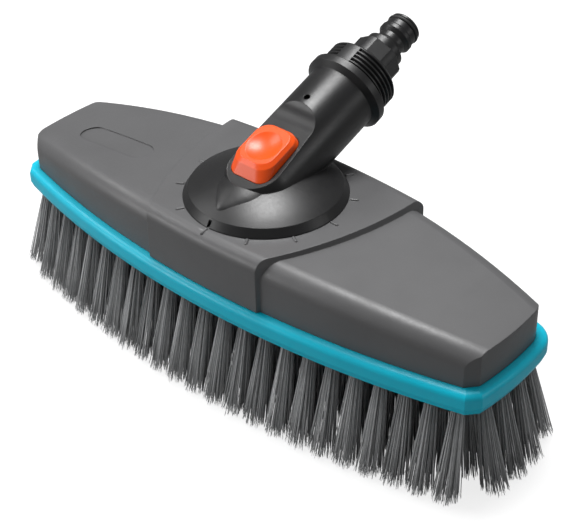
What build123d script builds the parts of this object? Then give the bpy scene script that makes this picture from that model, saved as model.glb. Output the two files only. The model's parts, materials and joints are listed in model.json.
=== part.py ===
from build123d import *
import os
from math import asin, cos, hypot, radians, sin, sqrt, tan

# Water-fed wash brush head with a tilted swivel stem.  Millimetres, +Z up.
# The origin is on the swivel axis, in the plane of the bristle tips.
# X runs along the head and the stem leans back towards +Y.

# ---- driving dimensions: head ----
HALF_LENGTH = 138.5          # bumper, middle of an end
HALF_WIDTH = 47.0            # bumper, middle of a long side
CORNER_X = 136.1             # where the long side would meet the end
CORNER_Y = 28.3
BUMPER_CORNER = 6.5          # the two front corners are cut flat across this arc
COVER_CORNER = 6.0
BACK_CORNER_EXTRA = 7.0      # the two back corners are rounder by this much
COVER_TOP = 83.0             # flat top of the saddle above the bristle tips
BUMPER_BOTTOM = 45.4
BUMPER_TOP = 56.5
BUMPER_REACH = 4.5           # how far the bumper stands out from the cover wall
BUMPER_SLOPE = 1.3           # fall of the bumper's upper face
BUMPER_BROW = 3.0            # rounding between the upper face and the outer wall
BUMPER_UNDERCUT = 1.3        # steep lower chamfer
BUMPER_UNDERCUT_HEIGHT = 3.4
SADDLE_PROUD = 1.8           # saddle wall outside the wing wall
SKIN = 2.4                   # wall of the cover
TOP_ROUND = 6.0              # rounding along the long top edges of the saddle
WING_ROUND = 8.5             # and of the wings
END_CHAMFER_DROP = 7.5       # steep chamfer over each end wall
END_CHAMFER_DEPTH = 1.3
LABEL_X, LABEL_Y = -89.8, -7.7
LABEL_LENGTH, LABEL_WIDTH, LABEL_DEPTH = 45.5, 13.1, 0.7
PLATE_BOTTOM = 46.4
PLATE_TOP = 51.4
TONGUE = 1.0                 # bumper tongue clamped between plate and cover
COVER_BOTTOM = PLATE_TOP + TONGUE

# ---- driving dimensions: index and swivel ----
INDEX_STEPS = 12
STEP_ANGLE = 360 / INDEX_STEPS
TICK_INNER = 37.8
TICK_LENGTH = 3.3
TICK_RADIUS = 0.7
DISC_RADIUS = 37.3
DISC_GAP = 0.25
RIM_TOP_RADIUS = 34.8
RIM_HEIGHT = 4.0             # dark rim of the disc, above the cover top
DOME_HEIGHT = 13.0           # middle of the dome, above the cover top
DOME_WALL = 2.6
HUB_RADIUS = 17.0
HUB_BORE = 13.8
BEARING_CLEARANCE = 0.06
COLLAR_RADIUS = 20.5
COLLAR_BOTTOM = 70.6
HUB_BOTTOM = 69.7
RING_INNER = 21.0            # index ring
RING_OUTER = 28.0
RING_BOTTOM = 80.5
RING_TOP = 82.9
NOTCH_WIDTH = 4.0
NOTCH_DEPTH = 2.0
FIT = 0.05                   # clearance of parts that sit in a pocket

# ---- driving dimensions: stem (s runs along its axis, d up from the axis) ----
STEM_TILT = 19.5             # degrees above horizontal
STEM_Y = -21.55              # where the axis passes the level of the cover top
STEM_RADIUS = 17.2
STEM_BORE = 13.9
PLUG_BORE = 14.4
PLUG_SHOULDER_S = 86.0        # step in the bore that the connector rests on
NOSE_S = 20.86               # centre of the round lower end
FLANGE_S = 77.9
FLANGE_RIM_S = 79.9
FLANGE_END_S = 83.5
FLANGE_RADIUS = 20.3
THREAD_RADIUS = 18.0
THREAD_PITCH = 2.1
THREAD_DEPTH = 1.15
THREAD_END_S = 94.3
MOUTH_S = 95.2
MOUTH_RADIUS = 17.2

# ---- driving dimensions: facet, button and latch ----
FACET_EXTRA_TILT = 3.8       # facet against the stem axis, degrees
FACET_S = 25.0
FACET_D = 10.85              # facet floor above the axis at FACET_S
FACET_END_RADIUS = 13.7
SCOOP_RADIUS = 14.0
SCOOP_S = 44.5               # where the floor turns up into the scoop
FLOOR_WALL = 2.4
DRAIN_S = 59.0
DRAIN_RADIUS = 1.5
BUTTON_S = 26.6              # middle of the button along the facet
BUTTON_LENGTH = 28.4
BUTTON_WIDTH = 22.2
BUTTON_CORNER = 5.5
BUTTON_TOP_D = 15.85         # button top above the stem axis, parallel to it
BUTTON_EDGE_D = 14.3         # widest line of the button's upper edge
BUTTON_GAP = 0.2
DIMPLE_S = 27.9
DIMPLE_RADIUS = 8.3
DIMPLE_DEPTH = 2.0
PLUNGER_Y = -12.4            # along the facet, from the middle of the button
PLUNGER_TIP = -11.65         # along the facet's normal
BRIDGE_TOP = -8.8
SPRING_Y = -2.0
BOLT_Y = -24.5
BOLT_SIZE = 5.0
TOOTH_WIDTH = 3.8
TOOTH_BOTTOM = 81.0
BOLT_SHOULDER = 83.0
BOLT_TOP = 87.9
BOLT_ROOF = 90.5             # top of the pocket the bolt rises into
PIVOT_Y = -16.6
PIVOT_Z = 85.3
PIN_RADIUS = 1.25

# ---- driving dimensions: tufts ----
TUFT_ROOT = 2.6              # radius where a tuft enters the plate
TUFT_TIP = 5.3
HOLE_RADIUS = 2.7
HOLE_DEPTH = 3.6
TUFT_PITCH = 11.7
RING_INSETS = (8.2, 17.0, 26.0)
RING_SPLAY = (9.9, 5.2, 2.8)  # how far each ring of tips leans outwards
CENTRE_PITCH = 12.0
CENTRE_INSET = 34.5          # the middle tufts keep this far inside the edge
SCREW_RADIUS = 1.5
SCREW_PLACES = ((60, 24), (103.5, 0))
JET_X = (18, 42, 66, 90)

LOW = (Align.CENTER, Align.CENTER, Align.MIN)
HANGING = (Align.CENTER, Align.CENTER, Align.MAX)
STEM = Plane(origin=(0, STEM_Y, COVER_TOP), x_dir=(-1, 0, 0),
             z_dir=(0, cos(radians(STEM_TILT)), sin(radians(STEM_TILT))))


def facet_d(s):
    """Height of the facet floor above the stem axis."""
    return FACET_D + (s - FACET_S) * tan(radians(FACET_EXTRA_TILT))


FACET_ANGLE = radians(STEM_TILT + FACET_EXTRA_TILT)
FACET = Plane(origin=STEM.from_local_coords((0, facet_d(BUTTON_S), BUTTON_S)), x_dir=(1, 0, 0),
              z_dir=(0, -sin(FACET_ANGLE), cos(FACET_ANGLE)))


# ---- small helpers ----
def post(radius, bottom, top, x=0, y=0):
    """Upright cylinder between two heights."""
    return Pos(x, y, bottom) * Cylinder(radius, top - bottom, align=LOW)


def sleeve(outer, inner, bottom, top):
    """Upright tube around the swivel axis."""
    return post(outer, bottom, top) - post(inner, bottom - 1, top + 1)


def block(width, depth, bottom, top, x=0, y=0):
    """Upright box between two heights."""
    return Pos(x, y, bottom) * Box(width, depth, top - bottom, align=LOW)


def along_stem(radius, start, end):
    """Cylinder on the stem axis."""
    return STEM * Pos(0, 0, start) * Cylinder(radius, end - start, align=LOW)


def stem_cone(radius_a, radius_b, start, end):
    """Cone on the stem axis."""
    return STEM * Pos(0, 0, start) * Cone(radius_a, radius_b, end - start, align=LOW)


def stem_point(d, s):
    """Point in the middle plane, d above the stem axis and s along it."""
    return STEM.from_local_coords((0, d, s))


def turned(points, plane=Plane.XZ):
    """Solid of revolution from (radius, height) points."""
    face = make_face(Polyline(*points, close=True))
    return revolve(plane * face, axis=Axis(plane.origin, plane.y_dir))


def stem_turned(points):
    """Solid of revolution about the stem axis from (radius, s) points."""
    section = Plane(origin=STEM.origin, x_dir=STEM.x_dir, z_dir=STEM.x_dir.cross(STEM.z_dir))
    return turned(points, section)


# ---- outline of the head ----
def arc_radius(reach, sag):
    return (reach ** 2 + sag ** 2) / (2 * sag)


SIDE_RADIUS = arc_radius(CORNER_X, HALF_WIDTH - CORNER_Y)
END_RADIUS = arc_radius(CORNER_Y, HALF_LENGTH - CORNER_X)
SIDE_CENTRE = Vector(0, HALF_WIDTH - SIDE_RADIUS)
END_CENTRE = Vector(HALF_LENGTH - END_RADIUS, 0)


def crossing(side_radius, end_radius):
    """Crossing, at +X +Y, of circles about the centres of the side arc and the end arc."""
    line = END_CENTRE - SIDE_CENTRE
    gap = line.length
    along = (gap ** 2 + side_radius ** 2 - end_radius ** 2) / (2 * gap)
    across = sqrt(side_radius ** 2 - along ** 2)
    unit = line.normalized()
    return SIDE_CENTRE + unit * along + Vector(unit.Y, -unit.X) * across


def corner_points(inset, corner):
    """Ends and middle of a corner arc at +X +Y: on the side, halfway, on the end."""
    centre = crossing(SIDE_RADIUS - inset - corner, END_RADIUS - inset - corner)
    to_side = (centre - SIDE_CENTRE).normalized()
    to_end = (centre - END_CENTRE).normalized()
    halfway = (to_side + to_end).normalized()
    return [centre + direction * corner for direction in (to_side, halfway, to_end)]


def outline(inset, corner, back_corner):
    """Edge of the head, moved inwards by inset: long arcs, end arcs, flat front and round back corners."""
    side, middle, end = corner_points(inset, back_corner)
    front_side, _, front_end = corner_points(inset, corner)
    back = HALF_WIDTH - inset
    tip = HALF_LENGTH - inset
    return [
        ThreePointArc((front_end.X, -front_end.Y), (tip, 0), (end.X, end.Y)),
        ThreePointArc((end.X, end.Y), (middle.X, middle.Y), (side.X, side.Y)),
        ThreePointArc((side.X, side.Y), (0, back), (-side.X, side.Y)),
        ThreePointArc((-side.X, side.Y), (-middle.X, middle.Y), (-end.X, end.Y)),
        ThreePointArc((-end.X, end.Y), (-tip, 0), (-front_end.X, -front_end.Y)),
        Line((-front_end.X, -front_end.Y), (-front_side.X, -front_side.Y)),
        ThreePointArc((-front_side.X, -front_side.Y), (0, -back), (front_side.X, -front_side.Y)),
        Line((front_side.X, -front_side.Y), (front_end.X, -front_end.Y)),
    ]


def slab(inset, corner, bottom, top):
    """Upright prism on the head outline."""
    face = make_face(outline(inset, corner, corner + BACK_CORNER_EXTRA))
    return extrude(Pos(0, 0, bottom) * face, top - bottom)


def sharp_slab(inset, bottom, top):
    """Upright prism on the head outline with sharp corners."""
    corner = crossing(SIDE_RADIUS - inset, END_RADIUS - inset)
    x, y = corner.X, corner.Y
    face = make_face([
        ThreePointArc((x, -y), (HALF_LENGTH - inset, 0), (x, y)),
        ThreePointArc((x, y), (0, HALF_WIDTH - inset), (-x, y)),
        ThreePointArc((-x, y), (inset - HALF_LENGTH, 0), (-x, -y)),
        ThreePointArc((-x, -y), (0, inset - HALF_WIDTH), (x, -y)),
    ])
    return extrude(Pos(0, 0, bottom) * face, top - bottom)


# ---- outer form of the cover, and the same form moved inwards for its cavity ----
def wings(skin, bottom):
    """Long body whose top falls away towards both ends."""
    drop = COVER_TOP - skin
    crest = Spline((-HALF_LENGTH, drop - 11.2), (-94, drop - 5.4), (-50, drop - 2.5), (0, drop - 1.8),
                   (50, drop - 2.5), (94, drop - 5.4), (HALF_LENGTH, drop - 11.2))
    sides = Polyline((HALF_LENGTH, drop - 11.2), (HALF_LENGTH, bottom), (-HALF_LENGTH, bottom),
                     (-HALF_LENGTH, drop - 11.2))
    profile = extrude(Plane.XZ * make_face([crest, sides]), HALF_WIDTH, both=True)
    body = sharp_slab(BUMPER_REACH + skin, bottom, COVER_TOP) & profile
    high = [e for e in body.edges() if e.center().Z > COVER_TOP - 20]
    ends = [e for e in high if abs(e.center().X) > 120 and abs(e.center().Y) < 5]
    for edge in ends:
        outer = body.faces().filter_by(lambda f: abs(f.center().X) > 128)
        wall = [face for face in outer if face.center().X * edge.center().X > 0][0]
        near = min(body.edges(), key=lambda e: (e.center() - edge.center()).length)
        body = chamfer(near, END_CHAMFER_DROP, END_CHAMFER_DEPTH, reference=wall)
    long_edges = [e for e in body.edges() if e.length > 200 and e.center().Z > COVER_TOP - 20]
    body = fillet(long_edges, WING_ROUND - skin)
    return body & slab(BUMPER_REACH + skin, COVER_CORNER - skin, bottom, COVER_TOP)


def saddle(skin, bottom):
    """Raised middle, wider towards the back, whose sides lean in a little."""
    front, middle, back = 32.0 - skin, 50.0 - skin, 56.8 - skin
    face = make_face([
        ThreePointArc((front, -44), (middle, -3.5), (back, 44)),
        Polyline((back, 44), (back, 60), (-back, 60), (-back, 44)),
        ThreePointArc((-back, 44), (-middle, -3.5), (-front, -44)),
        Polyline((-front, -44), (-front, -60), (front, -60), (front, -44)),
    ])
    plan = extrude(Pos(0, 0, bottom) * face, COVER_TOP - skin - bottom)
    inset = BUMPER_REACH - SADDLE_PROUD + skin
    body = sharp_slab(inset, bottom, COVER_TOP) & plan
    top = body.faces().sort_by(Axis.Z)[-1]
    steps = [e for e in top.edges() if abs(e.center().Y) < 20 and abs(e.center().X) > 20]
    body = chamfer(steps, 1.0, 3.5, reference=top)
    top = body.faces().sort_by(Axis.Z)[-1]
    rims = [e for e in top.edges() if abs(e.center().Y) > 25]
    return fillet(rims, TOP_ROUND - skin)


def head_form(skin, bottom, saddle_bottom):
    return wings(skin, bottom) + saddle(skin, saddle_bottom)


def tick_marks():
    """Twelve rounded ribs around the disc; the front and back ones bend over the edge rounding."""
    rod = Cylinder(TICK_RADIUS, TICK_LENGTH, rotation=(0, 90, 0), align=LOW)
    flat = Pos(TICK_INNER, 0, COVER_TOP) * rod
    flat += Pos(TICK_INNER + TICK_LENGTH, 0, COVER_TOP) * Sphere(TICK_RADIUS)
    start_y = HALF_WIDTH - BUMPER_REACH + SADDLE_PROUD - TOP_ROUND
    low = COVER_TOP - TOP_ROUND

    def over_edge(angle):
        return (0, -start_y - TOP_ROUND * sin(angle), low + TOP_ROUND * cos(angle))

    turn = asin((TICK_INNER + TICK_LENGTH - start_y) / TOP_ROUND)
    path = ThreePointArc(over_edge(0), over_edge(turn / 2), over_edge(turn))
    bent = sweep(Plane(origin=path @ 0, z_dir=path % 0) * Circle(TICK_RADIUS), path=path)
    bent += [Pos(*(path @ 0)) * Sphere(TICK_RADIUS), Pos(*(path @ 1)) * Sphere(TICK_RADIUS)]
    angles = [step * STEP_ANGLE for step in range(INDEX_STEPS) if step % 6 != 3]
    return [Rot(0, 0, angle) * flat for angle in angles] + [bent, mirror(bent, about=Plane.XZ)]


def label_recess(floor_form):
    """Shallow blank panel on the left wing."""
    panel = extrude(Pos(LABEL_X, LABEL_Y, 60) * SlotOverall(LABEL_LENGTH, LABEL_WIDTH), 30)
    return panel - floor_form


# ---- head: cover, bumper, plate and what is clamped between them ----
def screw_points():
    """The six screws that hold the bristle plate."""
    (x, y), (end_x, end_y) = SCREW_PLACES
    return [(x, y), (-x, y), (x, -y), (-x, -y), (end_x, end_y), (-end_x, end_y)]


def ring_pocket():
    """Room for the index ring in the cover, with its two keys."""
    pocket = sleeve(RING_OUTER + FIT, RING_INNER - FIT, RING_BOTTOM, COVER_TOP + 1)
    for side in (1, -1):
        key = block(3.0, 4.0 + 2 * FIT, RING_BOTTOM, COVER_TOP + 1, x=side * (RING_OUTER + 0.5))
        pocket += Rot(0, 0, STEP_ANGLE / 2) * key
    return pocket


def make_head_cover():
    form = head_form(0, COVER_BOTTOM, BUMPER_TOP + 0.1)
    body = form - head_form(SKIN, COVER_BOTTOM - 1, BUMPER_TOP + 2.5)
    body -= label_recess(head_form(LABEL_DEPTH, COVER_BOTTOM, BUMPER_TOP))
    body += tick_marks()
    under = head_form(1.0, PLATE_TOP, PLATE_TOP)
    body += (post(30, 78.4, COVER_TOP) + post(COLLAR_RADIUS, COLLAR_BOTTOM, COVER_TOP)) & form
    bosses = [post(4.2, PLATE_TOP, COVER_TOP, x, y) for x, y in screw_points()]
    body += Part() + bosses & under
    body -= [post(SCREW_RADIUS + 0.02, PLATE_TOP - 1, PLATE_TOP + 10, x, y) for x, y in screw_points()]
    body -= post(HUB_RADIUS + BEARING_CLEARANCE, COLLAR_BOTTOM - 1, COVER_TOP + 1)
    return body - ring_pocket()


def make_bumper():
    """Soft strip around the head with a tongue clamped under the cover's edge."""
    body = slab(0, BUMPER_CORNER, BUMPER_BOTTOM, BUMPER_TOP)
    top = body.faces().sort_by(Axis.Z)[-1]
    body = chamfer(top.edges(), BUMPER_REACH - 0.4, BUMPER_SLOPE, reference=top)
    brow = [e for e in body.edges() if abs(e.center().Z - BUMPER_TOP + BUMPER_SLOPE) < 0.01]
    body = fillet(brow, BUMPER_BROW)
    bottom = body.faces().sort_by(Axis.Z)[0]
    body = chamfer(bottom.edges(), BUMPER_UNDERCUT, BUMPER_UNDERCUT_HEIGHT, reference=bottom)
    body -= slab(BUMPER_REACH - FIT, COVER_CORNER, BUMPER_BOTTOM - 1, BUMPER_TOP + 1)
    wall = BUMPER_REACH + SKIN - FIT
    tongue = slab(BUMPER_REACH - 0.5, COVER_CORNER, PLATE_TOP, COVER_BOTTOM)
    tongue -= slab(wall, COVER_CORNER - SKIN, PLATE_TOP - 1, COVER_BOTTOM + 1)
    return body + tongue


def far_from_screws(x, y):
    return all(hypot(x - sx, y - sy) > HOLE_RADIUS + 4.0 for sx, sy in screw_points())


def ring_places(inset, splay):
    """Evenly spaced tufts along the edge: root and tip, leaning outwards."""
    corner = max(COVER_CORNER - inset / 4, 2.0)
    path = Wire(outline(inset, corner, corner + BACK_CORNER_EXTRA - inset / 4))
    count = 2 * round(path.length / TUFT_PITCH / 2)
    first_arc = path.edges().sort_by(Axis.X)[-1].length
    places = []
    for step in range(count):
        at = (first_arc / 2 / path.length + step / count) % 1.0
        root = path @ at
        along = path % at
        if far_from_screws(root.X, root.Y):
            places.append(((root.X, root.Y), (root.X + along.Y * splay, root.Y - along.X * splay)))
    return places


def centre_places():
    """Columns of three, two or one tuft in the middle, as the third ring leaves room."""
    places = []
    for step in range(-8, 9):
        x = step * CENTRE_PITCH
        room = SIDE_CENTRE.Y + sqrt((SIDE_RADIUS - CENTRE_INSET) ** 2 - x * x)
        rows = (-room, 0, room) if room > 10.8 else (-room, room) if room > 5.6 else (0,)
        places += [((x, y), (x, y * 1.02)) for y in rows]
    return places


TUFT_GROUPS = {
    "tufts_outer": ring_places(RING_INSETS[0], RING_SPLAY[0]),
    "tufts_second": ring_places(RING_INSETS[1], RING_SPLAY[1]),
    "tufts_third": ring_places(RING_INSETS[2], RING_SPLAY[2]),
    "tufts_centre": centre_places(),
}


def make_tufts(places):
    """One solid per tuft: straight in its hole, then flaring and leaning to the tip."""
    tufts = []
    for (x, y), (tip_x, tip_y) in places:
        sections = [
            Pos(x, y, PLATE_BOTTOM + 2.9) * Circle(TUFT_ROOT),
            Pos(x, y, PLATE_BOTTOM) * Circle(TUFT_ROOT),
            Pos(tip_x, tip_y, 0) * Circle(TUFT_TIP),
        ]
        tufts.append(loft(sections, ruled=True).solid())
    return Compound(tufts)


def make_tuft_anchors():
    """Small plates that wedge each folded tuft in its hole."""
    anchors = []
    for places in TUFT_GROUPS.values():
        for (x, y), tip in places:
            anchors.append(block(4.4, 1.6, PLATE_BOTTOM + 2.95, PLATE_BOTTOM + 3.5, x, y).solid())
    return Compound(anchors)


def make_bristle_plate():
    body = slab(BUMPER_REACH, COVER_CORNER, PLATE_BOTTOM, PLATE_TOP)
    rib = slab(9.4, 2.4, PLATE_TOP, PLATE_TOP + 3) - slab(11.4, 1.0, PLATE_TOP - 1, PLATE_TOP + 4)
    body += rib
    cuts = []
    for places in TUFT_GROUPS.values():
        cuts += [post(HOLE_RADIUS, PLATE_BOTTOM - 1, PLATE_BOTTOM + HOLE_DEPTH, x, y)
                 for (x, y), tip in places]
    cuts += [post(1.25, PLATE_BOTTOM - 1, PLATE_TOP + 1, side * x, 0) for x in JET_X for side in (1, -1)]
    cuts += [post(1.8, PLATE_BOTTOM - 1, PLATE_TOP + 1, x, y) for x, y in screw_points()]
    cuts += [post(3.4, PLATE_BOTTOM - 1, PLATE_BOTTOM + 2.4, x, y) for x, y in screw_points()]
    return body - cuts


def make_chamber_seal():
    """Rubber ring between the plate's rib and the cover wall."""
    wall = BUMPER_REACH + SKIN + 0.15
    return slab(wall, 3.4, PLATE_TOP, 53.4) - slab(9.25, 2.5, PLATE_TOP - 1, 54)


def screw(head_radius, head_height, shank_radius, length):
    """Pan-head screw standing on its head, with a cross recess."""
    body = Cylinder(head_radius, head_height, align=LOW) + Cylinder(shank_radius, length, align=LOW)
    body = chamfer(body.edges().sort_by(Axis.Z)[0], head_height * 0.3)
    body = chamfer(body.edges().sort_by(Axis.Z)[-1], shank_radius * 0.4)
    cross = Box(head_radius * 1.2, 0.6, 0.9, align=LOW) + Box(0.6, head_radius * 1.2, 0.9, align=LOW)
    return body - cross


def make_plate_screws():
    one = screw(3.0, 2.0, SCREW_RADIUS, 12.0)
    return Compound([(Pos(x, y, PLATE_BOTTOM + 0.4) * one).solid() for x, y in screw_points()])


def make_index_ring():
    """Ring with twelve notches under the disc, keyed into the cover."""
    ring = sleeve(RING_OUTER, RING_INNER, RING_BOTTOM, RING_TOP)
    for side in (1, -1):
        key = block(2.6, 4.0, RING_BOTTOM, RING_TOP, x=side * (RING_OUTER + 0.5))
        ring += Rot(0, 0, STEP_ANGLE / 2) * key
    notch = block(NOTCH_WIDTH, 12, RING_TOP - NOTCH_DEPTH, RING_TOP + 1, y=BOLT_Y)
    return ring - [Rot(0, 0, step * STEP_ANGLE) * notch for step in range(INDEX_STEPS)]


# ---- swivel stem ----
def stadium(back_s):
    """Facet outline seen square on: round lower end, open upper end."""
    radius = FACET_END_RADIUS
    y0 = (NOSE_S - BUTTON_S) / cos(radians(FACET_EXTRA_TILT))
    y1 = (back_s - BUTTON_S) / cos(radians(FACET_EXTRA_TILT))
    wide = STEM_RADIUS + 4
    return make_face([
        ThreePointArc((-radius, y0), (0, y0 - radius), (radius, y0)),
        Polyline((radius, y0), (wide, y0), (wide, y1), (-wide, y1), (-wide, y0), (-radius, y0)),
    ])


def facet_cut():
    """Everything above the facet floor and inside the scoop."""
    centre_d = facet_d(SCOOP_S) + SCOOP_RADIUS
    reach = SCOOP_RADIUS * cos(radians(45))
    start = (SCOOP_S, facet_d(SCOOP_S))
    middle = (SCOOP_S + reach, centre_d - reach)
    end = (SCOOP_S + SCOOP_RADIUS * 0.995, centre_d - SCOOP_RADIUS * 0.1)
    profile = make_face([
        Polyline((-20, 40), (-20, facet_d(-20)), start),
        ThreePointArc(start, middle, end),
        Polyline(end, (end[0], 40), (-20, 40)),
    ])
    side = Plane(origin=STEM.origin, x_dir=STEM.z_dir, z_dir=(1, 0, 0))
    cut = extrude(side * profile, 30, both=True)
    prism = FACET * extrude(Pos(0, 0, -8) * stadium(80), 60)
    return cut & prism


def dome_ball(inset=0):
    """Sphere whose top is the dome, moved inwards by inset."""
    ball = arc_radius(RIM_TOP_RADIUS, DOME_HEIGHT - RIM_HEIGHT)
    return Pos(0, 0, COVER_TOP + DOME_HEIGHT - ball) * Sphere(ball - inset)


def disc_form():
    """Rotating disc: sloping rim and a low dome."""
    rim = Cone(DISC_RADIUS, RIM_TOP_RADIUS, RIM_HEIGHT - DISC_GAP, align=LOW)
    rim = Pos(0, 0, COVER_TOP + DISC_GAP) * rim
    base = COVER_TOP + RIM_HEIGHT
    return rim + (dome_ball() & post(RIM_TOP_RADIUS, base, base + DOME_HEIGHT))


# half-width and half-height of the prow at stations along the stem axis
PROW = (
    (16, 17.1, 11.0), (6, 16.4, 10.6), (1.8, 15.0, 10.3),
    (-2, 11.8, 9.9), (-4.8, 8.6, 9.5), (-8, 4.6, 8.0),
)


def prow_form():
    """Low bow that carries the stem's lower end down into the disc."""
    return loft([STEM * Pos(0, 0, s) * Ellipse(wide, high) for s, wide, high in PROW])


def stem_outer():
    barrel = along_stem(STEM_RADIUS, NOSE_S, FLANGE_S + 1)
    barrel += STEM * Pos(0, 0, NOSE_S) * Sphere(STEM_RADIUS)
    barrel += prow_form()
    above = block(200, 400, COVER_TOP + DISC_GAP, COVER_TOP + 200)
    return (barrel & above) - facet_cut() + disc_form()


def thread_form():
    """Flange, thread with two smooth lands, and lead-in at the mouth."""
    body = stem_cone(STEM_RADIUS, FLANGE_RADIUS, FLANGE_S, FLANGE_RIM_S)
    body += along_stem(FLANGE_RADIUS, FLANGE_RIM_S, FLANGE_END_S)
    body += along_stem(THREAD_RADIUS, FLANGE_END_S, THREAD_END_S)
    body += stem_cone(THREAD_RADIUS, MOUTH_RADIUS, THREAD_END_S, MOUTH_S)
    half = THREAD_PITCH * 0.38
    grooves = Part()
    for turn in range(5):
        middle = FLANGE_END_S + 1.2 + turn * THREAD_PITCH
        crest, root = THREAD_RADIUS + 0.3, THREAD_RADIUS - THREAD_DEPTH
        grooves += stem_turned([
            (crest, middle - half - 0.15), (crest, middle + half + 0.15),
            (root, middle + 0.2), (root, middle - 0.2),
        ])
    lands = STEM * Pos(0, 0, FLANGE_END_S) * Box(THREAD_RADIUS * 0.42, 60, 30, align=LOW)
    return body - (grooves - lands)


def stem_cavities():
    """Elbow bore, connector seat, space under the dome, and the hub's own bore."""
    bore = along_stem(STEM_BORE, NOSE_S, PLUG_SHOULDER_S) + STEM * Pos(0, 0, NOSE_S) * Sphere(STEM_BORE)
    bore &= FACET * Pos(0, 0, -FLOOR_WALL) * Box(400, 400, 400, align=HANGING)
    bore -= scoop_wall()
    bore &= block(200, 400, COVER_TOP + 1.6, COVER_TOP + 200)
    bore += along_stem(PLUG_BORE, PLUG_SHOULDER_S, MOUTH_S + 1)
    bore += post(HUB_BORE, HUB_BOTTOM - 1, 90)
    ring = post(33, COVER_TOP, COVER_TOP + 20) - post(19.4, COVER_TOP - 1, COVER_TOP + 21)
    ring -= along_stem(STEM_RADIUS, NOSE_S, FLANGE_S)
    return bore, ring & dome_ball(DOME_WALL)


def scoop_wall():
    """Wall left between the scoop and the bore."""
    centre_d = facet_d(SCOOP_S) + SCOOP_RADIUS
    shell = Cylinder(SCOOP_RADIUS + FLOOR_WALL, 60, rotation=(0, 90, 0))
    return STEM * Pos(0, centre_d, SCOOP_S) * shell


def base_outline(grow):
    """Button outline on the facet floor."""
    return RectangleRounded(BUTTON_WIDTH + 2 * grow, BUTTON_LENGTH + 2 * grow, BUTTON_CORNER + grow)


def latch_cuts():
    """Pocket for the bolt, way for the lever and the button's opening."""
    opening = FACET * extrude(Pos(0, 0, -7.3) * base_outline(BUTTON_GAP), 9)
    half = BOLT_SIZE / 2 + 0.1
    pocket = block(2 * half, 2 * half, COVER_TOP, BOLT_ROOF, y=BOLT_Y)
    ears = block(7.9, 2.4, COVER_TOP, 89.5, y=BOLT_Y)
    prongs = block(7.9, 9.0, COVER_TOP, 88.0, y=-21.2)
    window = block(8.2, 7.6, 82.8, 88.5, y=-16.9)
    pin = Pos(0, PIVOT_Y, PIVOT_Z) * Cylinder(PIN_RADIUS + 0.02, 14.2, rotation=(0, 90, 0))
    return [opening, pocket, ears, prongs, window, pin]


RETAINER_SCREWS = [(12.2 * cos(radians(a)), 12.2 * sin(radians(a))) for a in (90, 210, 330)]
RETAINER_TOP = HUB_BOTTOM


def make_swivel_stem():
    outer = stem_outer()
    hub = post(HUB_RADIUS, HUB_BOTTOM, COVER_TOP + 1)
    bore, ring = stem_cavities()
    body = outer + hub - ring
    body += block(10.4, 9.9, COVER_TOP + 1, 92, y=-23.9) & outer
    body += thread_form()
    body -= bore
    bridge = FACET * Pos(0, -6.0, BRIDGE_TOP) * Box(28.4, 18.4, 1.2, align=HANGING)
    bosses = [post(3.4, HUB_BOTTOM, 78, x, y) for x, y in RETAINER_SCREWS]
    body += bridge
    body += Part() + bosses & post(HUB_BORE + 1, HUB_BOTTOM, 78)
    body -= latch_cuts()
    body -= [post(1.27, HUB_BOTTOM - 1, 76.5, x, y) for x, y in RETAINER_SCREWS]
    body -= FACET * Pos(0, PLUNGER_Y, BRIDGE_TOP) * Cylinder(1.7, 6)
    body -= sleeve(HUB_RADIUS + 1, 15.4, 74.6, 77.0)
    body -= along_stem(PLUG_BORE + 0.8, 93.05, 94.05)
    body -= STEM * Pos(0, STEM_RADIUS, DRAIN_S) * Cylinder(DRAIN_RADIUS, 10, rotation=(90, 0, 0))
    body -= block(1.5, 4, COVER_TOP, COVER_TOP + RIM_HEIGHT + 0.2, y=-DISC_RADIUS)
    return body


# ---- latch and button ----
def upper_outline(d, start, end, half_width, corner):
    """Button outline parallel to the stem axis, at height d."""
    plane = Plane(origin=STEM.from_local_coords((0, d, (start + end) / 2)), x_dir=(1, 0, 0),
                  z_dir=STEM.y_dir)
    return plane * RectangleRounded(2 * half_width, end - start, corner)


def make_release_button():
    skirt = extrude(Pos(0, 0, -3.9) * base_outline(0), 3.9)
    foot = FACET * base_outline(0)
    edge = upper_outline(BUTTON_EDGE_D, 16.2, 40.5, BUTTON_WIDTH / 2 - 0.3, BUTTON_CORNER + 1.3)
    top = upper_outline(BUTTON_TOP_D, 18.2, 39.2, BUTTON_WIDTH / 2 - 2.0, BUTTON_CORNER + 0.6)
    body = FACET * skirt + loft([foot, edge], ruled=True) + loft([edge, top], ruled=True)
    ball = (DIMPLE_RADIUS ** 2 + DIMPLE_DEPTH ** 2) / (2 * DIMPLE_DEPTH)
    body -= STEM * Pos(0, BUTTON_TOP_D - DIMPLE_DEPTH + ball, DIMPLE_S) * Sphere(ball)
    hollow = Pos(0, 0.8, -4) * Box(18, 22.8, 5.5, align=LOW)
    tabs = [Pos(0, side * 14.5, -3.9) * Box(8, 2.6, 1.3, align=LOW) for side in (1, -1)]
    tip = PLUNGER_TIP + 1.4
    plunger = Pos(0, PLUNGER_Y, tip) * (Cylinder(1.4, -3 - tip, align=LOW) + Sphere(1.4))
    return body - FACET * hollow + FACET * (Part() + tabs + plunger)


def coil(radius, wire, height, turns):
    """Open helical spring standing on its lower end."""
    path = Helix((height - 2 * wire) / turns, height - 2 * wire, radius)
    section = Plane(origin=path @ 0, z_dir=path % 0) * Circle(wire)
    return Pos(0, 0, wire) * sweep(section, path=path, is_frenet=True)


def make_button_spring():
    return FACET * Pos(0, SPRING_Y, BRIDGE_TOP + 0.05) * coil(3.0, 0.35, 10.2, 6)


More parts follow.
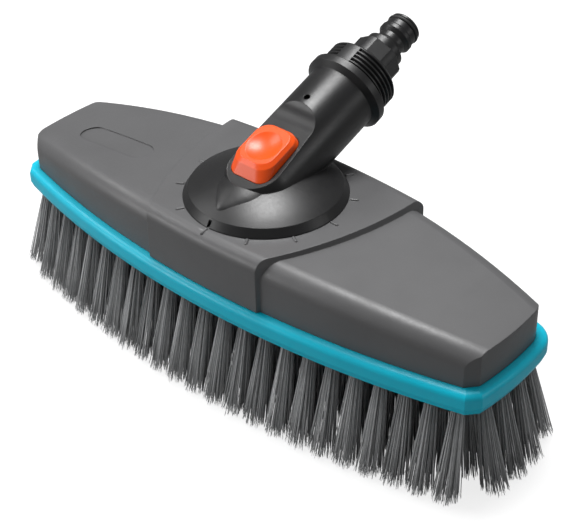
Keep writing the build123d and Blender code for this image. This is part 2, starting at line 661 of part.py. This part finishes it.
def make_latch_bolt():
    """Bolt with a tooth below, two ears and a blind hole for its spring."""
    bolt = block(BOLT_SIZE, BOLT_SIZE, BOLT_SHOULDER, BOLT_TOP, y=BOLT_Y)
    bolt += block(TOOTH_WIDTH, BOLT_SIZE, TOOTH_BOTTOM, BOLT_SHOULDER, y=BOLT_Y)
    bolt += block(7.6, 2.0, 85.58, 87.2, y=BOLT_Y)
    return bolt - post(1.75, 84.2, BOLT_TOP + 1, y=BOLT_Y)


def make_bolt_spring():
    return Pos(0, BOLT_Y, 84.25) * coil(1.35, 0.22, 6.2, 6)


def make_latch_lever():
    """Rocker: forked at the front under the bolt's ears, flat where the button pushes."""
    arm = Polyline((-24.5, 83.5), (-24.5, 85.5), (-23.0, 85.5), (-17.6, 87.2), (-14.0, 86.4), (-6.4, 86.4),
                   (-6.4, 84.2), (-15.4, 84.2), (-17.0, 83.5), close=True)
    wide = extrude(Plane.YZ * make_face(arm), 3.75, both=True)
    wide += Pos(0, -24.5, 84.5) * Cylinder(1.0, 7.5, rotation=(0, 90, 0))
    slot = block(5.5, 5.4, 80, 90, y=-23.7)
    sides = [block(4, 12, 80, 90, x=side * 4.5, y=-7.9) for side in (1, -1)]
    hole = Pos(0, PIVOT_Y, PIVOT_Z) * Cylinder(PIN_RADIUS + 0.05, 20, rotation=(0, 90, 0))
    return wide - slot - sides - hole


def make_lever_pin():
    return Pos(0, PIVOT_Y, PIVOT_Z) * Cylinder(PIN_RADIUS, 14, rotation=(0, 90, 0))


# ---- hub and water way ----
SPIGOT = 2.95
TUBE_INNER = 3.0
TUBE_OUTER = 4.5


def make_hub_retainer():
    """Disc screwed under the hub, with the spigot that feeds the water chamber."""
    body = post(20.3, 66.7, RETAINER_TOP) + post(SPIGOT, RETAINER_TOP - 1, 80)
    body = chamfer(body.edges().sort_by(Axis.Z)[0], 0.8)
    body -= post(2.0, 60, 90)
    return body - [post(1.4, 60, 72, x, y) for x, y in RETAINER_SCREWS]


def make_retainer_screws():
    one = screw(2.5, 1.6, 1.25, 11.0)
    return Compound([(Pos(x, y, 66.7 - 1.6) * one).solid() for x, y in RETAINER_SCREWS])


def make_thrust_washer():
    return sleeve(20.4, 17.3, RETAINER_TOP + 0.05, COLLAR_BOTTOM - 0.05)


def make_hub_o_ring():
    section = Plane.XZ * Pos(16.23, 75.8) * Ellipse(0.8, 0.95)
    return revolve(section, axis=Axis.Z)


def make_water_tube():
    """Hose from the connector's rear spigot round the bend to the hub."""
    points = [stem_point(0, 85.8), stem_point(0, 58), stem_point(-5.5, 44), (0, 0, 84.8),
              (0, 0, RETAINER_TOP + 0.1)]
    path = FilletPolyline(*points, radius=8)
    start = Plane(origin=path @ 0, z_dir=path % 0)
    return sweep(start * Circle(TUBE_OUTER), path=path) - sweep(start * Circle(TUBE_INNER), path=path)


def clamp():
    """Spring clip around the hose, with two ears."""
    band = Cylinder(5.3, 4, align=LOW)
    ears = Pos(0, 5.6, 0) * Box(2.4, 3.0, 4, align=LOW)
    inside = Cylinder(TUBE_OUTER + 0.03, 4, align=LOW)
    slit = Pos(0, 6, 0) * Box(0.8, 6, 4, align=LOW)
    return band + ears - inside - slit


def make_tube_clamps():
    upper = STEM * Pos(0, 0, 80) * clamp()
    lower = Pos(0, 0, 73.5) * clamp()
    return Compound([upper.solid(), lower.solid()])


def make_plug_connector():
    """Quick-connector nose with a flats block, seated in the stem's mouth."""
    spigot = [(2.0, 78.0), (2.95, 78.0), (2.95, 86.2)]
    flange = [(14.3, 86.2), (14.3, 93.0), (10.6, 93.0), (10.6, 107.0)]
    waist = [(9.6, 107.0), (9.6, 111.5), (7.4, 112.6), (6.9, 114.5), (7.0, 117.0)]
    collar = [(8.0, 118.4), (8.55, 119.0), (8.55, 121.0), (8.0, 121.6), (8.0, 124.6)]
    nose = [(6.6, 124.6), (6.6, 126.9), (7.9, 126.9), (7.9, 127.8), (7.3, 128.4)]
    bore = [(5.0, 128.4), (5.0, 112.0), (4.0, 110.0), (4.0, 90.0), (2.0, 86.0)]
    body = stem_turned(spigot + flange + waist + collar + nose + bore)
    flats = RegularPolygon(12.9, 6, major_radius=True, rotation=90)
    nut = extrude(flats, 14.0) & Cylinder(11.9, 14.0, align=LOW)
    nut = nut - Cylinder(9.0, 14.0, align=LOW)
    rib = Pos(10.9, -3.2, 4) * Box(3.0, 1.6, 8.5, align=LOW)
    return body + STEM * Pos(0, 0, 93.0) * (nut + rib)


def make_nose_o_ring():
    section = Plane.XZ * Pos(7.55, 0) * Circle(0.92)
    return STEM * Pos(0, 0, 125.75) * revolve(section, axis=Axis.Z)


def make_plug_retaining_ring():
    """Split spring ring in the mouth, in front of the connector's flange."""
    ring = Cylinder(15.1, 0.9, align=LOW) - Cylinder(12.6, 0.9, align=LOW)
    ring -= Pos(0, -14, 0) * Box(5, 6, 2, align=LOW)
    return STEM * Pos(0, 0, 93.1) * ring


MAKERS = {
    "head_cover": make_head_cover,
    "bumper": make_bumper,
    "bristle_plate": make_bristle_plate,
    "tuft_anchors": make_tuft_anchors,
    "chamber_seal": make_chamber_seal,
    "plate_screws": make_plate_screws,
    "index_ring": make_index_ring,
    "swivel_stem": make_swivel_stem,
    "release_button": make_release_button,
    "button_spring": make_button_spring,
    "latch_bolt": make_latch_bolt,
    "bolt_spring": make_bolt_spring,
    "latch_lever": make_latch_lever,
    "lever_pin": make_lever_pin,
    "hub_retainer": make_hub_retainer,
    "retainer_screws": make_retainer_screws,
    "thrust_washer": make_thrust_washer,
    "hub_o_ring": make_hub_o_ring,
    "water_tube": make_water_tube,
    "tube_clamps": make_tube_clamps,
    "plug_connector": make_plug_connector,
    "nose_o_ring": make_nose_o_ring,
    "plug_retaining_ring": make_plug_retaining_ring,
}


def main():
    os.makedirs("parts", exist_ok=True)
    for name, make in MAKERS.items():
        export_step(make(), f"parts/{name}.step")
    for name, places in TUFT_GROUPS.items():
        export_step(make_tufts(places), f"parts/{name}.step")


main()
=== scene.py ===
import json
import math

import bpy
import numpy as np
from mathutils import Matrix, Vector


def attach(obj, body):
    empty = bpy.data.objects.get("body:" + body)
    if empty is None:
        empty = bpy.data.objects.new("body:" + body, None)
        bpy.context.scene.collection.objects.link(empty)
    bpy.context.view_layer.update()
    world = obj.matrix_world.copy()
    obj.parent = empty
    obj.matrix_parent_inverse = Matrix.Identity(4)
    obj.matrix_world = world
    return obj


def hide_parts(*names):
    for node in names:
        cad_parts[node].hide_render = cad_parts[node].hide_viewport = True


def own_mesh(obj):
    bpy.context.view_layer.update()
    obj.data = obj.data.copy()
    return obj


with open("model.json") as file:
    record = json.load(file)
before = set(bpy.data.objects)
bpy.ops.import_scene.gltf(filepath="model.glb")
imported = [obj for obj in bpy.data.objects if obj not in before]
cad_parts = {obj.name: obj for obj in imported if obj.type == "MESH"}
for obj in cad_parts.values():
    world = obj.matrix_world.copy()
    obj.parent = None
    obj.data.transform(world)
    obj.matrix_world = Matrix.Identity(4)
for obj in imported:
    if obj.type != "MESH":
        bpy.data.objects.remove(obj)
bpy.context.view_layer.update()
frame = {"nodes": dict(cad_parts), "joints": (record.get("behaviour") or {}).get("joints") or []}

NODES = frame["nodes"]
JOINTS = {joint["name"]: joint for joint in frame["joints"]}
MM = 0.001
rng = np.random.default_rng(20)

# Scales of the noise in moulded plastic, in cycles per metre.
CLOUD_SCALE = 22
SPECK_SCALE = 2600
SMEAR_SCALE = 45
FINE_SCALE = 900
SPECK_LIFT = 1.7
GRAIN_HEIGHT = 0.00006
CRIMP_SCALE = 900
LINE_SCALE = 600
LINE_SHADE = 0.72
LINE_HEIGHT = 0.00003
SHARP_ANGLE = math.radians(28)

# Heights above the bristle tips between which a filament turns pale (painted light on the tips) or
# dark (painted shade at the roots under the head).
PAINTED_TIP_LIGHT = (0.009, 0.0)
PAINTED_ROOT_SHADE = (0.030, 0.047)

# Filaments in a tuft, their radius, and whether their tips are split.
FILAMENTS = {
    "tufts_outer": (110, 0.20 * MM, True),
    "tufts_second": (80, 0.22 * MM, False),
    "tufts_third": (60, 0.24 * MM, False),
    "tufts_centre": (60, 0.24 * MM, False),
}
WELD_GRID = 1e6
END_BAND = 1e-5
GOLDEN_ANGLE = 2.39996
SIDES = 3
HOLE_TOP = 0.1 * MM
HOLE_MOUTH = 3.2 * MM
ROOT_FILL = 0.93
TIP_SPREAD = 1.18
STEPS = np.array([0.0, 0.3, 0.62, 0.93, 1.0])
SWAY = 0.10 * MM
LEAN = 0.30 * MM
TIP_NOISE = 0.4 * MM
TIP_DROP = 0.2 * MM
RIM_RISE = 0.9 * MM
LOWEST_TIP = -0.6 * MM
HIGHEST_TIP = 4 * MM
WHOLE_TIP = 0.55
SPLIT = 0.22 * MM
SPLIT_RISE = 0.9 * MM
SPLIT_ROOT = 0.72
SPLIT_TIP = 0.34

FLOOR_HALF = 4.0
FLOOR_Z = -0.0012
WORLD_SEEN = 1.0
WORLD_LIGHT = 0.20
FLOOR_GLOW = 0.80

# Place, target, size and power of each area light.
LIGHTS = {
    "overhead": ((-0.2, 0.22, 1.2), (0, 0, 0.06), 0.5, 15.5),
    "key_left": ((-0.95, -0.35, 0.95), (0, 0, 0.06), 0.5, 4.5),
    "front_left": ((-0.85, -1.0, 0.35), (0, 0, 0.03), 0.5, 5),
    "right_rim": ((1.2, 0.5, 0.45), (0, 0, 0.06), 0.4, 1.2),
}

# Camera solved from the photo: its axes, its place and its lens in millimetres.
CAMERA_RIGHT = (0.74968942, 0.66153025, -0.01853354)
CAMERA_UP = (-0.37778242, 0.4507858, 0.80874756)
CAMERA_BACK = (0.54336563, -0.59930784, 0.58786384)
CAMERA_PLACE = (0.377574, -0.401098, 0.442598)
CAMERA_LENS = 91.239
CAMERA_SENSOR = 36


# ---------------------------------------------------------------- materials
def srgb(r, g, b):
    """Linear colour from 0-255 display values."""
    def lin(v):
        v /= 255
        return v / 12.92 if v <= 0.04045 else ((v + 0.055) / 1.055) ** 2.4
    return (lin(r), lin(g), lin(b), 1.0)


class Nodes:
    """Small helper round one material's node tree."""

    def __init__(self, name):
        self.mat = bpy.data.materials.new(name)
        self.mat.use_nodes = True
        self.tree = self.mat.node_tree
        self.bsdf = self.tree.nodes["Principled BSDF"]
        self.coords = self.add("ShaderNodeTexCoord").outputs["Object"]

    def add(self, kind, **props):
        node = self.tree.nodes.new(kind)
        for key, value in props.items():
            setattr(node, key, value)
        return node

    def link(self, out, into):
        self.tree.links.new(out, into)

    def noise(self, scale, detail=3.0, stretch=None, rough=0.55):
        """Noise in metres; scale is cycles per metre, stretch squashes the axes."""
        node = self.add("ShaderNodeTexNoise")
        node.inputs["Scale"].default_value = scale
        node.inputs["Detail"].default_value = detail
        node.inputs["Roughness"].default_value = rough
        source = self.coords
        if stretch:
            mapping = self.add("ShaderNodeMapping")
            mapping.inputs["Scale"].default_value = stretch
            self.link(source, mapping.inputs["Vector"])
            source = mapping.outputs["Vector"]
        self.link(source, node.inputs["Vector"])
        return node.outputs["Fac"]

    def remap(self, value, low, high, out_low, out_high):
        node = self.add("ShaderNodeMapRange")
        node.inputs["From Min"].default_value = low
        node.inputs["From Max"].default_value = high
        node.inputs["To Min"].default_value = out_low
        node.inputs["To Max"].default_value = out_high
        self.link(value, node.inputs["Value"])
        return node.outputs["Result"]

    def mix(self, factor, a, b, blend="MIX"):
        node = self.add("ShaderNodeMix", data_type="RGBA", blend_type=blend)
        for value, socket in ((factor, 0), (a, 6), (b, 7)):
            if isinstance(value, bpy.types.NodeSocket):
                self.link(value, node.inputs[socket])
            else:
                node.inputs[socket].default_value = value
        return node.outputs[2]

    def bump(self, height, strength, distance, normal=None):
        node = self.add("ShaderNodeBump")
        node.inputs["Strength"].default_value = strength
        node.inputs["Distance"].default_value = distance
        self.link(height, node.inputs["Height"])
        if normal:
            self.link(normal, node.inputs["Normal"])
        return node.outputs["Normal"]

    def round_edges(self, radius):
        node = self.add("ShaderNodeBevel", samples=6)
        node.inputs["Radius"].default_value = radius
        return node.outputs["Normal"]


def moulded(name, colour, tint, rough, grain, edge, spec=0.5, coat=0.0, sub=0.0):
    """Moulded plastic: mottled colour, fine spark-eroded grain, soft edges, uneven gloss."""
    n = Nodes(name)
    cloud = n.noise(CLOUD_SCALE, 4)
    col = n.mix(n.remap(cloud, 0.35, 0.65, 0, 1), colour, tint)
    speck = n.noise(SPECK_SCALE, 2)
    speck_colour = tuple(min(1, c * SPECK_LIFT) for c in colour[:3]) + (1,)
    col = n.mix(n.remap(speck, 0.62, 0.8, 0, 0.35), col, speck_colour)
    n.link(col, n.bsdf.inputs["Base Color"])
    smear = n.noise(SMEAR_SCALE, 5, (1, 0.35, 1))
    fine = n.noise(FINE_SCALE, 2)
    gloss = n.remap(smear, 0.3, 0.7, rough - 0.05, rough + 0.06)
    add = n.add("ShaderNodeMath", operation="ADD")
    n.link(gloss, add.inputs[0])
    n.link(n.remap(fine, 0.3, 0.7, -0.03, 0.03), add.inputs[1])
    n.link(add.outputs[0], n.bsdf.inputs["Roughness"])
    n.bsdf.inputs["Specular IOR Level"].default_value = spec
    n.bsdf.inputs["Coat Weight"].default_value = coat
    n.bsdf.inputs["Coat Roughness"].default_value = 0.15
    n.bsdf.inputs["Subsurface Weight"].default_value = sub
    n.bsdf.inputs["Subsurface Radius"].default_value = (0.002, 0.002, 0.002)
    soft = n.round_edges(edge)
    texture = n.noise(grain, 3)
    n.link(n.bump(texture, 0.22, GRAIN_HEIGHT, soft), n.bsdf.inputs["Normal"])
    return n.mat


def drawn_metal(name, colour, rough, direction):
    """Drawn or turned metal with fine lines along one direction."""
    n = Nodes(name)
    lines = n.noise(LINE_SCALE, 4, direction)
    line_colour = tuple(c * LINE_SHADE for c in colour[:3]) + (1,)
    n.link(n.mix(n.remap(lines, 0.35, 0.65, 0, 1), colour, line_colour), n.bsdf.inputs["Base Color"])
    n.bsdf.inputs["Metallic"].default_value = 1.0
    n.link(n.remap(lines, 0.3, 0.7, rough - 0.07, rough + 0.1), n.bsdf.inputs["Roughness"])
    n.link(n.bump(lines, 0.15, LINE_HEIGHT), n.bsdf.inputs["Normal"])
    return n.mat


def filament_material():
    """Crimped nylon filament: every strand its own grey, darker at the root with painted shade under
    the head, pale at the tip with painted light.
    """
    n = Nodes("bristle_filament")
    geo = n.add("ShaderNodeNewGeometry")
    strand = geo.outputs["Random Per Island"]
    base = n.mix(strand, srgb(168, 170, 171), srgb(222, 223, 224))
    split = n.add("ShaderNodeSeparateXYZ")
    n.link(n.coords, split.inputs[0])
    height = split.outputs["Z"]
    # painted light: the lowest 9 mm of every filament is paled towards near white
    tip = n.remap(height, *PAINTED_TIP_LIGHT, 0, 0.6)
    col = n.mix(tip, base, srgb(226, 227, 228))
    # painted shade: the top of every filament, under the head, is darkened towards near black
    root = n.remap(height, *PAINTED_ROOT_SHADE, 0, 0.5)
    col = n.mix(root, col, srgb(40, 41, 43))
    crimp = n.noise(CRIMP_SCALE, 2, (1, 1, 0.5))
    col = n.mix(n.remap(crimp, 0.35, 0.7, 0, 0.3), col, srgb(140, 142, 144))
    n.link(col, n.bsdf.inputs["Base Color"])
    n.link(n.remap(strand, 0, 1, 0.38, 0.6), n.bsdf.inputs["Roughness"])
    n.bsdf.inputs["Specular IOR Level"].default_value = 0.4
    n.link(n.bump(crimp, 0.3, 0.0001), n.bsdf.inputs["Normal"])
    return n.mat


def finish_nodes():
    """Gives each CAD node its material, with its sharp edges kept."""
    cover = moulded("cover_grey_plastic", srgb(93, 93, 94), srgb(88, 88, 89), 0.40, 1500, 0.0006)
    stem = moulded("stem_black_plastic", srgb(27, 27, 28), srgb(23, 23, 24), 0.38, 1700, 0.0004)
    plate = moulded("plate_dark_plastic", srgb(40, 41, 42), srgb(34, 35, 36), 0.5, 1500, 0.0003)
    bumper = moulded("bumper_soft_turquoise", srgb(0, 196, 224), srgb(0, 190, 218), 0.36, 1100,
                     0.0005, spec=0.4)
    button = moulded("button_orange_plastic", srgb(250, 88, 12), srgb(245, 82, 9), 0.34, 2200,
                     0.0006, coat=0.1)
    seal = moulded("seal_rubber", srgb(24, 24, 25), srgb(30, 30, 30), 0.55, 1200, 0.0002)
    acetal = moulded("acetal_white", srgb(222, 221, 214), srgb(214, 213, 205), 0.35, 1800,
                     0.0002, sub=0.1)
    hose = moulded("hose_grey", srgb(120, 122, 124), srgb(108, 110, 112), 0.45, 1200, 0.0002)
    steel = drawn_metal("steel_drawn", (0.62, 0.62, 0.63, 1), 0.3, (1, 1, 0.06))
    groups = {
        cover: ["head_cover"],
        stem: ["swivel_stem", "plug_connector"],
        plate: ["bristle_plate", "hub_retainer"],
        bumper: ["bumper"],
        button: ["release_button"],
        seal: ["chamber_seal", "hub_o_ring", "nose_o_ring"],
        acetal: ["index_ring", "thrust_washer", "latch_lever"],
        hose: ["water_tube"],
        steel: ["tuft_anchors", "plate_screws", "retainer_screws", "plug_retaining_ring",
                "tube_clamps", "lever_pin", "bolt_spring", "button_spring", "latch_bolt"],
    }
    for material, names in groups.items():
        for name in names:
            mesh = NODES[name].data
            mesh.materials.clear()
            mesh.materials.append(material)
            mesh.shade_smooth()
            mesh.set_sharp_from_angle(angle=SHARP_ANGLE)


# ---------------------------------------------------------------- springs
def working_spring(node, axis, fixed_end):
    """Stands in for a CAD spring; fixed_end is min or max along axis."""
    coil = bpy.data.objects.new(node + "_coil", NODES[node].data.copy())
    bpy.context.scene.collection.objects.link(coil)
    axis = Vector(axis).normalized()
    heights = [axis.dot(vertex.co) for vertex in coil.data.vertices]
    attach(coil, "stem")
    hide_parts(node)
    anchor = tuple(axis * fixed_end(heights))
    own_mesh(coil)


def springs():
    """The button spring stands on its lower end, and the bolt spring hangs from its upper end."""
    press = JOINTS["button_press"]["axis"]
    working_spring("button_spring", -Vector(press), min)
    working_spring("bolt_spring", (0, 0, 1), max)


# ---------------------------------------------------------------- bristles
def tuft_axes(node):
    """Root centre, root radius, tip centre and tip radius of each tuft solid of a CAD node."""
    mesh = NODES[node].data
    co = np.zeros(len(mesh.vertices) * 3)
    mesh.vertices.foreach_get("co", co)
    co = co.reshape(-1, 3)
    parent = np.arange(len(co))

    def find(i):
        while parent[i] != i:
            parent[i] = parent[parent[i]]
            i = parent[i]
        return i

    keys = {}
    for i, p in enumerate(np.round(co * WELD_GRID).astype(int)):
        j = keys.setdefault(tuple(p), i)
        parent[find(i)] = find(j)
    for edge in mesh.edges:
        a, b = find(edge.vertices[0]), find(edge.vertices[1])
        parent[a] = b
    roots = np.array([find(i) for i in range(len(co))])
    tufts = []
    for r in np.unique(roots):
        pts = co[roots == r]
        top, low = pts[:, 2].max(), pts[:, 2].min()
        upper = pts[pts[:, 2] > top - END_BAND]
        lower = pts[pts[:, 2] < low + END_BAND]
        cu = (upper.min(0) + upper.max(0)) / 2
        cl = (lower.min(0) + lower.max(0)) / 2
        tufts.append((cu, np.ptp(upper[:, 0]) / 2, cl, np.ptp(lower[:, 0]) / 2))
    return tufts


def spread(count):
    """Even, slightly jittered points in a unit disc, and their distances from its centre."""
    i = np.arange(count)
    radius = np.sqrt((i + 0.5) / count)
    angle = i * GOLDEN_ANGLE + rng.uniform(-0.25, 0.25, count)
    radius = np.clip(radius + rng.normal(0, 0.03, count), 0, 1)
    return np.stack([radius * np.cos(angle), radius * np.sin(angle)], 1), radius


def strands(path, radii):
    """Tapering tubes of three sides: path is (strand, step, xyz), radii (strand, step)."""
    count, steps, _ = path.shape
    turn = rng.uniform(0, 2 * math.pi, (count, 1, 1))
    around = turn + np.arange(SIDES)[None, None, :] * 2 * math.pi / SIDES
    ring = np.stack([np.cos(around), np.sin(around), np.zeros_like(around)], -1)
    verts = path[:, :, None, :] + ring * radii[:, :, None, None]
    verts = verts.reshape(-1, 3)
    first = np.arange(count)[:, None] * steps * SIDES
    last = first + (steps - 1) * SIDES
    step = np.arange(steps - 1)[None, :, None] * SIDES
    side = np.arange(SIDES)[None, None, :]
    a = first[:, :, None] + step + side
    b = first[:, :, None] + step + (side + 1) % SIDES
    quads = np.stack([a, b, b + SIDES, a + SIDES], -1).reshape(-1, 4)
    caps = np.concatenate([last + np.array([[0, 1, 2]]), first + np.array([[2, 1, 0]])])
    return verts, quads, caps


def tuft_strands(tuft, count, strand_r, split_tips):
    """One tuft's filaments from its hole down to their tips."""
    root, root_r, tip, tip_r = tuft
    disc, radius = spread(count)
    mouth = np.array([root[0], root[1], root[2] - HOLE_MOUTH])
    start = np.array([root[0], root[1], root[2] - HOLE_TOP])
    rise = rng.normal(0, TIP_NOISE, count) - TIP_DROP + RIM_RISE * radius ** 2
    rise = np.clip(rise, LOWEST_TIP, HIGHEST_TIP)
    sway = rng.normal(0, SWAY, (count, 2))
    lean = rng.normal(0, LEAN, (count, 2))
    path = np.zeros((count, len(STEPS) + 1, 3))
    path[:, 0, :2] = start[:2] + disc * root_r * ROOT_FILL
    path[:, 0, 2] = start[2]
    for k, h in enumerate(STEPS):
        flare = root_r * ROOT_FILL + (tip_r * TIP_SPREAD - root_r * ROOT_FILL) * h
        centre = mouth + (tip - mouth) * h
        wave = math.sin(h * math.pi)
        path[:, k + 1, :2] = centre[:2] + disc * flare + sway * wave + lean * h ** 2
        path[:, k + 1, 2] = centre[2]
    path[:, -1, 2] += rise
    radii = np.repeat((strand_r * rng.uniform(0.85, 1.15, count))[:, None], path.shape[1], 1)
    if not split_tips:
        radii[:, -1] *= WHOLE_TIP
        return [strands(path, radii)]
    split = rng.normal(0, SPLIT, (count, 2))
    out = [strands(path[:, :-1], radii[:, :-1])]
    for sign in (1, -1):
        hair = path[:, -2:].copy()
        hair[:, 1, :2] += split * sign
        hair[:, 1, 2] += rng.uniform(0, SPLIT_RISE, count) * (sign > 0)
        hair_radii = np.stack([radii[:, -1] * SPLIT_ROOT, radii[:, -1] * SPLIT_TIP], 1)
        out.append(strands(hair, hair_radii))
    return out


def bristle_group(node, count, strand_r, split_tips, material):
    """Replaces a CAD tuft group with filaments."""
    verts, quads, tris, offset = [], [], [], 0
    for tuft in tuft_axes(node):
        for v, q, t in tuft_strands(tuft, count, strand_r, split_tips):
            verts.append(v)
            quads.append(q + offset)
            tris.append(t + offset)
            offset += len(v)
    verts = np.concatenate(verts)
    quads = np.concatenate(quads)
    tris = np.concatenate(tris)
    mesh = bpy.data.meshes.new(node + "_filaments")
    mesh.vertices.add(len(verts))
    mesh.vertices.foreach_set("co", verts.astype(np.float32).ravel())
    loops = np.concatenate([quads.ravel(), tris.ravel()])
    mesh.loops.add(len(loops))
    mesh.loops.foreach_set("vertex_index", loops.astype(np.int32))
    totals = np.concatenate([np.full(len(quads), 4), np.full(len(tris), 3)])
    starts = np.concatenate([[0], np.cumsum(totals)[:-1]])
    mesh.polygons.add(len(totals))
    mesh.polygons.foreach_set("loop_start", starts.astype(np.int32))
    mesh.polygons.foreach_set("loop_total", totals.astype(np.int32))
    mesh.update(calc_edges=True)
    mesh.shade_smooth()
    mesh.materials.append(material)
    piece = bpy.data.objects.new(node + "_filaments", mesh)
    bpy.context.scene.collection.objects.link(piece)
    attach(piece, "head")
    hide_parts(node)


# ---------------------------------------------------------------- stage
def area(name, place, target, size, power):
    """White square light turned to its target."""
    data = bpy.data.lights.new(name, "AREA")
    data.energy = power
    data.size = size
    light = bpy.data.objects.new(name, data)
    light.location = place
    light.rotation_euler = (Vector(target) - Vector(place)).to_track_quat("-Z", "Y").to_euler()
    bpy.context.scene.collection.objects.link(light)


def seen_or_bounced(tree, seen, bounced, kind):
    """One value for rays from the camera and another for the rays that light the scene."""
    path = tree.nodes.new("ShaderNodeLightPath")
    mix = tree.nodes.new("ShaderNodeMix")
    mix.data_type = kind
    low, high, result = (6, 7, 2) if kind == "RGBA" else (2, 3, 0)
    tree.links.new(path.outputs["Is Camera Ray"], mix.inputs[0])
    mix.inputs[low].default_value = bounced
    mix.inputs[high].default_value = seen
    return mix.outputs[result]


def stage():
    """White floor and sky that light the object little, a strong lamp overhead, weaker ones around.

    The floor is transparent from below.
    """
    half = FLOOR_HALF
    corners = [(-half, -half, 0), (half, -half, 0), (half, half, 0), (-half, half, 0)]
    mesh = bpy.data.meshes.new("floor")
    mesh.from_pydata(corners, [], [(0, 1, 2, 3)])
    floor = bpy.data.objects.new("floor", mesh)
    floor.location.z = FLOOR_Z
    n = Nodes("floor_white")
    shade = n.mix(n.noise(3, 2), (0.90, 0.90, 0.90, 1), (1, 1, 1, 1))
    base = seen_or_bounced(n.tree, (0.34, 0.34, 0.34, 1), (0.30, 0.30, 0.30, 1), "RGBA")
    n.link(n.mix(1.0, base, shade, "MULTIPLY"), n.bsdf.inputs["Base Color"])
    n.bsdf.inputs["Emission Color"].default_value = (1, 1, 1, 1)
    n.link(seen_or_bounced(n.tree, FLOOR_GLOW, 0.0, "FLOAT"), n.bsdf.inputs["Emission Strength"])
    n.bsdf.inputs["Roughness"].default_value = 0.9
    n.bsdf.inputs["Specular IOR Level"].default_value = 0.0
    from_below = n.add("ShaderNodeNewGeometry").outputs["Backfacing"]
    one_sided = n.add("ShaderNodeMixShader")
    n.link(from_below, one_sided.inputs[0])
    n.link(n.bsdf.outputs[0], one_sided.inputs[1])
    n.link(n.add("ShaderNodeBsdfTransparent").outputs[0], one_sided.inputs[2])
    n.link(one_sided.outputs[0], n.tree.nodes["Material Output"].inputs["Surface"])
    mesh.materials.append(n.mat)
    bpy.context.scene.collection.objects.link(floor)

    world = bpy.data.worlds.new("studio")
    bpy.context.scene.world = world
    world.use_nodes = True
    background = world.node_tree.nodes["Background"]
    background.inputs["Color"].default_value = (1, 1, 1, 1)
    strength = seen_or_bounced(world.node_tree, WORLD_SEEN, WORLD_LIGHT, "FLOAT")
    world.node_tree.links.new(strength, background.inputs["Strength"])

    for name, (place, target, size, power) in LIGHTS.items():
        area(name, place, target, size, power)


def camera():
    """Seen from the right front, above."""
    data = bpy.data.cameras.new("camera")
    data.sensor_fit = "HORIZONTAL"
    data.sensor_width = CAMERA_SENSOR
    data.lens = CAMERA_LENS
    data.clip_start = 0.01
    cam = bpy.data.objects.new("camera", data)
    matrix = Matrix((CAMERA_RIGHT, CAMERA_UP, CAMERA_BACK)).transposed().to_4x4()
    matrix.translation = CAMERA_PLACE
    cam.matrix_world = matrix
    bpy.context.scene.collection.objects.link(cam)
    bpy.context.scene.camera = cam


# ---------------------------------------------------------------- build
finish_nodes()
springs()
filament = filament_material()
share = 1.0
for node, (count, strand_r, split_tips) in FILAMENTS.items():
    bristle_group(node, int(count * share), strand_r, split_tips, filament)
stage()
camera()
bpy.context.scene.view_settings.view_transform = "Standard"
